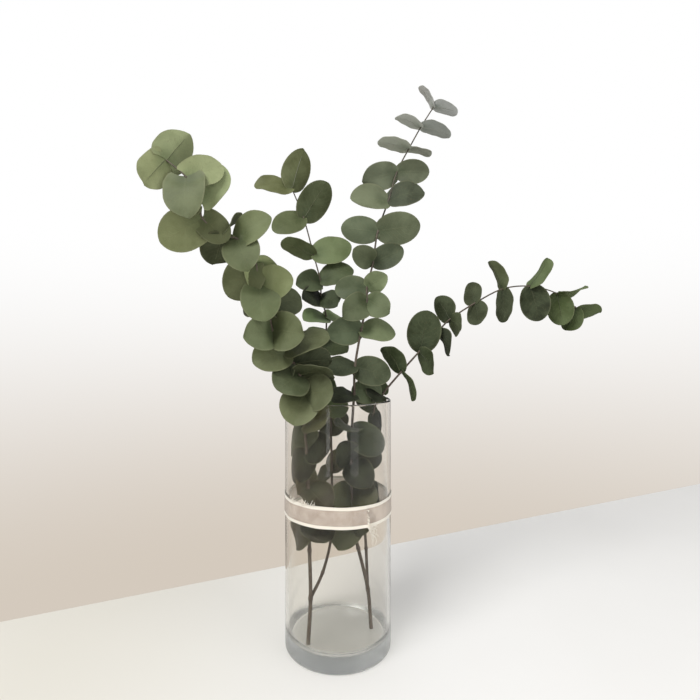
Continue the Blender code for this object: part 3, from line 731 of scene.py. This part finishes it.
# %% Leaf materials
def leaf_material(name, grey, vein_strength, bloom_strength, roughness):
    material, tree, shader = new_material(name)
    place = add_node(tree, "ShaderNodeTexCoord").outputs
    own = add_node(tree, "ShaderNodeAttribute", attribute_name="leaf_colour_and_painted_light").outputs["Color"]
    mottle = use_group(tree, mottle_group, Place=place["Object"], Scale=70.0)
    veins = use_group(tree, veins_group, Blade=place["UV"], Pairs=8.0)
    colour = blend_node(tree, 1.0, own, grey, "MULTIPLY")
    # Random darker patches from the mottle, and painted shade low on the blade near the rib.
    shade = step_node(tree, mottle["Tone"], 1.0, 0.0, smooth=False)
    shade = sum_node(tree, "MAXIMUM", sum_node(tree, "MULTIPLY", shade, 0.45), veins["Heart Shade And Rub"])
    darker = blend_node(tree, 1.0, colour, (0.50, 0.56, 0.50), "MULTIPLY")
    colour = blend_node(tree, sum_node(tree, "MULTIPLY", shade, 0.8), colour, darker)
    bloom = sum_node(tree, "MULTIPLY", mottle["Tone"], bloom_strength)
    colour = blend_node(tree, bloom, colour, (0.24, 0.29, 0.18))
    fleck = sum_node(tree, "MULTIPLY", mottle["Fleck"], 0.22)
    colour = blend_node(tree, fleck, colour, (0.13, 0.10, 0.05))
    lines = sum_node(tree, "MULTIPLY", veins["Veins"], vein_strength)
    colour = blend_node(tree, lines, colour, (0.22, 0.25, 0.13))
    ribs = sum_node(tree, "MULTIPLY", veins["Midrib"], vein_strength)
    colour = blend_node(tree, ribs, colour, (0.24, 0.25, 0.12))
    rim = sum_node(tree, "MULTIPLY", veins["Rim"], 0.25)
    colour = blend_node(tree, rim, colour, (0.24, 0.24, 0.14))
    wire(tree, colour, shader.inputs["Base Color"])
    dull = sum_node(tree, "ADD", sum_node(tree, "MULTIPLY", mottle["Tone"], 0.14), roughness)
    wire(tree, dull, shader.inputs["Roughness"])
    wire(tree, 0.18, shader.inputs["Specular IOR Level"])
    relief = sum_node(tree, "ADD", sum_node(tree, "MULTIPLY", veins["Veins"], 0.5), veins["Midrib"])
    relief = sum_node(tree, "ADD", relief, sum_node(tree, "MULTIPLY", mottle["Fleck"], 0.25))
    bump = add_node(tree, "ShaderNodeBump", {"Strength": 0.35, "Distance": 0.0003, "Height": relief})
    wire(tree, bump.outputs[0], shader.inputs["Normal"])
    return material


upper_face = leaf_material("leaf_upper_face", (1.0, 1.0, 1.0), 0.05, 0.10, 0.52)
under_face = leaf_material("leaf_under_face", (0.97, 0.98, 0.95), 0.07, 0.14, 0.64)
print("Leaf materials:", upper_face.name, under_face.name)

# %% [markdown]
# Growing a shoot's leaves: the flat blade's mesh is copied for each leaf, its points are laid where the
# leaf lies, and its colour, with its painted light and shade, is stored on it. The copies are joined, and a
# Solidify modifier gives them the thickness of a real leaf, with the under-face material on the second skin.

# %% Grow the leaves
LEAF_THICKNESS = 0.0004


def lay_blade(leaf, colour):
    mesh = blade.data.copy()
    places = [leaf.point(side, row) for side, row in blade_grid]
    mesh.vertices.foreach_set("co", [number for place in places for number in place])
    # The stored colour holds the leaf's painted light and shade too.
    paint = mesh.attributes.new("leaf_colour_and_painted_light", "FLOAT_COLOR", "POINT")
    paint.data.foreach_set("color", [*colour, 1.0] * len(places))
    piece = bpy.data.objects.new("leaf", mesh)
    bpy.context.collection.objects.link(piece)
    return piece


def grow_leaves(name, shoot):
    chance = random.Random(shoot["seed"] + 100)
    deselect_all()
    for joint, number, leaf in leaves_of(shoot):
        leaf.ruffle = chance.uniform(0.0001, 0.0004)
        piece = lay_blade(leaf, leaf_green(shoot, joint, number, leaf.joint.z, chance))
        piece.select_set(True)
        bpy.context.view_layer.objects.active = piece
    bpy.ops.object.join()
    leaves = bpy.context.object
    leaves.name = name + "_shoot_leaves"
    leaves.data.name = leaves.name
    leaves.data.materials.append(upper_face)
    leaves.data.materials.append(under_face)
    body = leaves.modifiers.new("thickness", "SOLIDIFY")
    body.thickness = LEAF_THICKNESS
    body.offset = 0.0
    body.material_offset = 1
    pick(leaves)
    bpy.ops.object.modifier_apply(modifier="thickness")
    bpy.ops.object.shade_smooth_by_angle(angle=math.radians(50))
    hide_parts(shoot["branch"])
    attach(leaves, "root")
    return leaves


for name, shoot in SHOOTS.items():
    leaves = grow_leaves(name, shoot)
    print(leaves.name, "has", len(leaves.data.polygons), "faces")
bpy.data.objects.remove(blade)

# %% [markdown]
# ### Stems
#
# A stem is a thin tapered twig that swells a little at each joint. It is drawn as a curve with a round
# bevel, because a curve bends smoothly through its joints and carries a radius at every point, and is
# then converted to a mesh. Each leaf's rib is a much finer curve under its blade, thick at the stem and
# fading out towards the tip.

# %% Stem finish
bark, tree, shader = new_material("stem_bark")
place = add_node(tree, "ShaderNodeTexCoord").outputs["Object"]
height = add_node(tree, "ShaderNodeSeparateXYZ", {0: place}).outputs[2]
mottle = use_group(tree, mottle_group, Place=place, Scale=160.0)
young = step_node(tree, height, 0.24, 0.50)
base = blend_node(tree, young, (0.075, 0.052, 0.038), (0.06, 0.055, 0.04))
colour = blend_node(tree, sum_node(tree, "MULTIPLY", mottle["Tone"], 0.55), base, (0.17, 0.14, 0.10))
colour = blend_node(tree, sum_node(tree, "MULTIPLY", mottle["Fleck"], 0.6), colour, (0.045, 0.03, 0.022))
wire(tree, colour, shader.inputs["Base Color"])
wire(tree, 0.7, shader.inputs["Roughness"])
bump = add_node(tree, "ShaderNodeBump", {"Strength": 0.5, "Distance": 0.0003, "Height": mottle["Tone"]})
wire(tree, bump.outputs[0], shader.inputs["Normal"])

rib_green, tree, shader = new_material("leaf_rib")
place = add_node(tree, "ShaderNodeTexCoord").outputs["Object"]
sides = add_node(tree, "ShaderNodeSeparateXYZ", {0: place}).outputs
mottle = use_group(tree, mottle_group, Place=place, Scale=120.0)
colour = blend_node(tree, mottle["Tone"], (0.06, 0.068, 0.028), (0.11, 0.125, 0.055))
colour = blend_node(tree, step_node(tree, sides[0], 0.05, 0.09), colour, (0.042, 0.05, 0.022))
# Pale grey high up: painted light, as on the tall shoot's backlit tip leaves.
colour = blend_node(tree, step_node(tree, sides[2], 0.43, 0.49), colour, (0.34, 0.35, 0.31))
wire(tree, colour, shader.inputs["Base Color"])
wire(tree, 0.6, shader.inputs["Roughness"])
print("Stem materials:", bark.name, rib_green.name)

# %% Grow the stems
STEM_TIP = 0.0006
RIB_RADIUS = 0.00034
RIB_DROP = 0.0003
RIB_STEPS = 8
RIB_REACH = 0.82
STEM_TAPER = 0.75
SPAN_STEPS = (0.0, 0.03, 0.07, 0.16, 0.3, 0.5, 0.7, 0.84, 0.93, 0.97)
SWELLING = 0.35


def stem_points(shoot):
    """Points of a smooth curve through the joints, each with the stem's radius there."""
    joints = [Vector(row[0]) * CENTIMETRE for row in shoot["rows"]]
    ends = [2 * joints[0] - joints[1]] + joints + [2 * joints[-1] - joints[-2]]
    spans = len(joints) - 1
    for i in range(spans):
        before, start, end, after = ends[i:i + 4]
        for t in SPAN_STEPS:
            place = 0.5 * (2 * start + (end - before) * t
                           + (2 * before - 5 * start + 4 * end - after) * t ** 2
                           + (3 * start - before - 3 * end + after) * t ** 3)
            climbed = ((i + t) / spans) ** STEM_TAPER
            nearness = 0.0 if i == 0 and t < 0.5 else max(0.0, 1 - min(t, 1 - t) / 0.08)
            radius = (shoot["foot"] + (STEM_TIP - shoot["foot"]) * climbed) * (1 + SWELLING * nearness)
            yield place, radius
    yield joints[-1], STEM_TIP
    yield joints[-1] + (joints[-1] - joints[-2]).normalized() * 0.003, STEM_TIP * 0.4


def new_tubes(name, material, sides):
    """An empty curve object whose lines become round tubes."""
    deselect_all()
    bpy.ops.curve.primitive_nurbs_path_add()
    tubes = bpy.context.object
    tubes.name = name
    tubes.data.splines.clear()
    tubes.data.bevel_depth = 1.0
    tubes.data.bevel_resolution = sides
    tubes.data.use_fill_caps = True
    tubes.data.materials.append(material)
    return tubes


def add_line(tubes, points):
    line = tubes.data.splines.new("POLY")
    points = list(points)
    line.points.add(len(points) - 1)
    for target, (place, radius) in zip(line.points, points):
        target.co = (*place, 1.0)
        target.radius = radius


def make_mesh(tubes):
    pick(tubes)
    bpy.ops.object.convert(target="MESH")
    bpy.ops.object.shade_smooth_by_angle(angle=math.radians(50))
    bpy.ops.object.mode_set(mode="EDIT")
    bpy.ops.mesh.select_all(action="SELECT")
    bpy.ops.mesh.remove_doubles(threshold=0.00001)
    bpy.ops.object.mode_set(mode="OBJECT")
    return bpy.context.object


def rib_points(leaf):
    for i in range(RIB_STEPS + 1):
        row = i / RIB_STEPS * RIB_REACH
        yield leaf.point(0.0, row, -RIB_DROP), RIB_RADIUS * (1 - 0.8 * i / RIB_STEPS)


for name, shoot in SHOOTS.items():
    ribs = new_tubes(name + "_shoot_ribs", rib_green, 1)
    for joint, number, leaf in leaves_of(shoot):
        add_line(ribs, rib_points(leaf))
    ribs = make_mesh(ribs)
    stem = new_tubes(name + "_shoot_stem", bark, 3)
    add_line(stem, stem_points(shoot))
    stem = make_mesh(stem)
    for piece in (ribs, stem):
        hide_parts(shoot["branch"])
        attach(piece, "root")
    print(stem.name, "has", len(stem.data.polygons), "faces")

# %% [markdown]
# ## Ribbon
#
# The ribbon is a thin sheer strip with a satin band woven in along each edge. It starts at the front left,
# is wound once round the vase and is lapped on as far as the front, so the front shows two layers and looks
# denser than the right side. The strip starts as a flat grid with its UV map laid along the cloth, is wound
# round the glass point by point, and gets a cloth's thickness. The real ribbon carries printed words, and
# they are left off.

# %% Ribbon shape
RIBBON_WIDTH = 0.0184
RIBBON_MIDDLE_HEIGHT = 0.1325
RIBBON_THICKNESS = 0.00025
RIBBON_GAP = 0.0003
LAP_START = 215
WOUND_ANGLE = 444.4
LAP_RISE = 12
RIBBON_COLUMNS = 340
RIBBON_ROWS = 14
SATIN_ROWS = 2


def wound(share, side):
    """A point of the ribbon: share is 0 to 1 along it, side is -1 to 1 across it."""
    turned = share * WOUND_ANGLE
    lift = min(max((turned - 360 + LAP_RISE) / LAP_RISE, 0.0), 1.0)
    pucker = 0.00008 * (1 + math.sin(turned * 0.31 + side * 2)) + 0.00006 * (1 + math.sin(turned * 0.083))
    reach = VASE_RADIUS + RIBBON_GAP + RIBBON_THICKNESS / 2 + pucker + 0.0007 * lift
    reach += 0.0012 * max(0.0, (share - 0.985) / 0.015) ** 2 * (0.4 - 0.6 * side)
    wander = 0.00025 * math.sin(turned * 0.052) + 0.00012 * math.sin(turned * 0.17 + 1)
    height = RIBBON_MIDDLE_HEIGHT + wander + side * RIBBON_WIDTH / 2
    angle = math.radians(LAP_START + turned)
    return Vector((reach * math.cos(angle), reach * math.sin(angle), height))


deselect_all()
bpy.ops.mesh.primitive_grid_add(x_subdivisions=RIBBON_COLUMNS, y_subdivisions=RIBBON_ROWS, size=2.0)
ribbon = bpy.context.object
ribbon.name = "ribbon_cloth"
flat_places = [(vertex.co.x, vertex.co.y) for vertex in ribbon.data.vertices]
satin_from = 1 - 2 * SATIN_ROWS / RIBBON_ROWS
satin_faces = [abs(face.center.y) > satin_from for face in ribbon.data.polygons]
for vertex, (x, y) in zip(ribbon.data.vertices, flat_places):
    vertex.co = wound((x + 1) / 2, y)
for face, satin in zip(ribbon.data.polygons, satin_faces):
    face.material_index = 1 if satin else 0

# %% [markdown]
# The middle is organza, a plain weave of fine stiff threads with gaps between them, so its alpha follows
# the weave. The edges are satin: closely packed smooth threads that shine, with ribs across the band and
# painted shade between the threads.

# %% Ribbon finish
sheer, tree, shader = new_material("ribbon_sheer")
place = add_node(tree, "ShaderNodeTexCoord").outputs
threads = use_group(tree, threads_group, Cloth=place["UV"], Warp=70.0, Weft=1300.0)
mottle = use_group(tree, mottle_group, Place=place["Object"], Scale=140.0)
colour = blend_node(tree, mottle["Tone"], (0.60, 0.50, 0.42), (0.73, 0.63, 0.54))
wire(tree, colour, shader.inputs["Base Color"])
wire(tree, 0.5, shader.inputs["Roughness"])
wire(tree, 0.3, shader.inputs["Sheen Weight"])
cover = sum_node(tree, "ADD", sum_node(tree, "MULTIPLY", threads["Cover"], 0.35), 0.22)
wire(tree, cover, shader.inputs["Alpha"])
bump = add_node(tree, "ShaderNodeBump", {"Strength": 0.3, "Distance": 0.0001, "Height": threads["Relief"]})
wire(tree, bump.outputs[0], shader.inputs["Normal"])

satin, tree, shader = new_material("ribbon_satin_edge")
place = add_node(tree, "ShaderNodeTexCoord").outputs
threads = use_group(tree, threads_group, Cloth=place["UV"], Warp=12.0, Weft=900.0)
mottle = use_group(tree, mottle_group, Place=place["Object"], Scale=140.0)
colour = blend_node(tree, mottle["Tone"], (0.80, 0.73, 0.60), (0.93, 0.88, 0.78))
# Darker between the threads: painted shade in the grooves of the weave.
colour = blend_node(tree, sum_node(tree, "MULTIPLY", threads["Relief"], 0.15), (0.62, 0.55, 0.44), colour)
wire(tree, blend_node(tree, 0.8, colour, (0.92, 0.87, 0.77)), shader.inputs["Base Color"])
wire(tree, 0.35, shader.inputs["Roughness"])
wire(tree, 0.4, shader.inputs["Sheen Weight"])
bump = add_node(tree, "ShaderNodeBump", {"Strength": 0.5, "Distance": 0.0002, "Height": threads["Relief"]})
wire(tree, bump.outputs[0], shader.inputs["Normal"])

ribbon.data.materials.append(sheer)
ribbon.data.materials.append(satin)
cloth = ribbon.modifiers.new("thickness", "SOLIDIFY")
cloth.thickness = RIBBON_THICKNESS
cloth.offset = 0.0
pick(ribbon)
bpy.ops.object.modifier_apply(modifier="thickness")
bpy.ops.object.shade_smooth_by_angle(angle=math.radians(50))
print("The ribbon has", len(ribbon.data.polygons), "faces")

# %% [markdown]
# Both cut ends are frayed. Threads have come out of the weave: long ones curl down below the end on the
# front, and short ones stick up where the other end comes out from under the lap.

# %% Frayed threads
THREAD_RADIUS = 0.00028
fray = new_tubes("ribbon_threads", satin, 1)
chance = random.Random(5)


def loose_thread(share, side, way, length, fall):
    """A thread that leaves the cloth along it, curls in the air and ends that far lower."""
    start = wound(share, side)
    outward = Vector((start.x, start.y, 0.0)).normalized()
    onward = Vector((-outward.y, outward.x, 0.0)) * way
    curl = chance.uniform(0.5, 1.6)
    phase = chance.uniform(0, 2 * math.pi)
    for step in range(12):
        along = step / 11
        place = start + onward * length * (0.5 * along + 0.25 * along * math.sin(5 * along * curl + phase))
        place += outward * 0.0014 * math.sin(along * 2.6) * curl
        place.z -= fall * along ** 1.5 + 0.0006 * math.sin(9 * along * curl + phase) * along
        yield place, THREAD_RADIUS * (1 - 0.5 * along)


for i in range(30):
    side = -1.0 + 0.5 * chance.random() ** 2
    reach = chance.random()
    fall = 0.003 + 0.019 * chance.random() * reach
    add_line(fray, loose_thread(1.0, side, 1, 0.004 + 0.012 * reach, fall))
for i in range(8):
    add_line(fray, loose_thread(1.0, chance.uniform(-0.8, 0.9), 1, 0.002, 0.001))
for i in range(26):
    share = chance.uniform(0.0, 0.07)
    way = chance.choice((-1, 1))
    side = chance.uniform(0.85, 1.0)
    fall = -0.001 - 0.004 * chance.random()
    add_line(fray, loose_thread(share, side, way, 0.004, fall))
fray = make_mesh(fray)
for piece in (ribbon, fray):
    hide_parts("ribbon")
    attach(piece, "root")
print("The frayed end has", len(fray.data.polygons), "faces")

# %% [markdown]
# ## Finish
#
# The dressed part must stay the size of the solids, so both boxes are printed.

# %% Sizes
dressed_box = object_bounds()
sizes = {"solids": [list(map(float, corner)) for corner in solid_box],
         "dressed": [list(map(float, corner)) for corner in dressed_box]}
print("Solids", sizes["solids"], "dressed", sizes["dressed"])
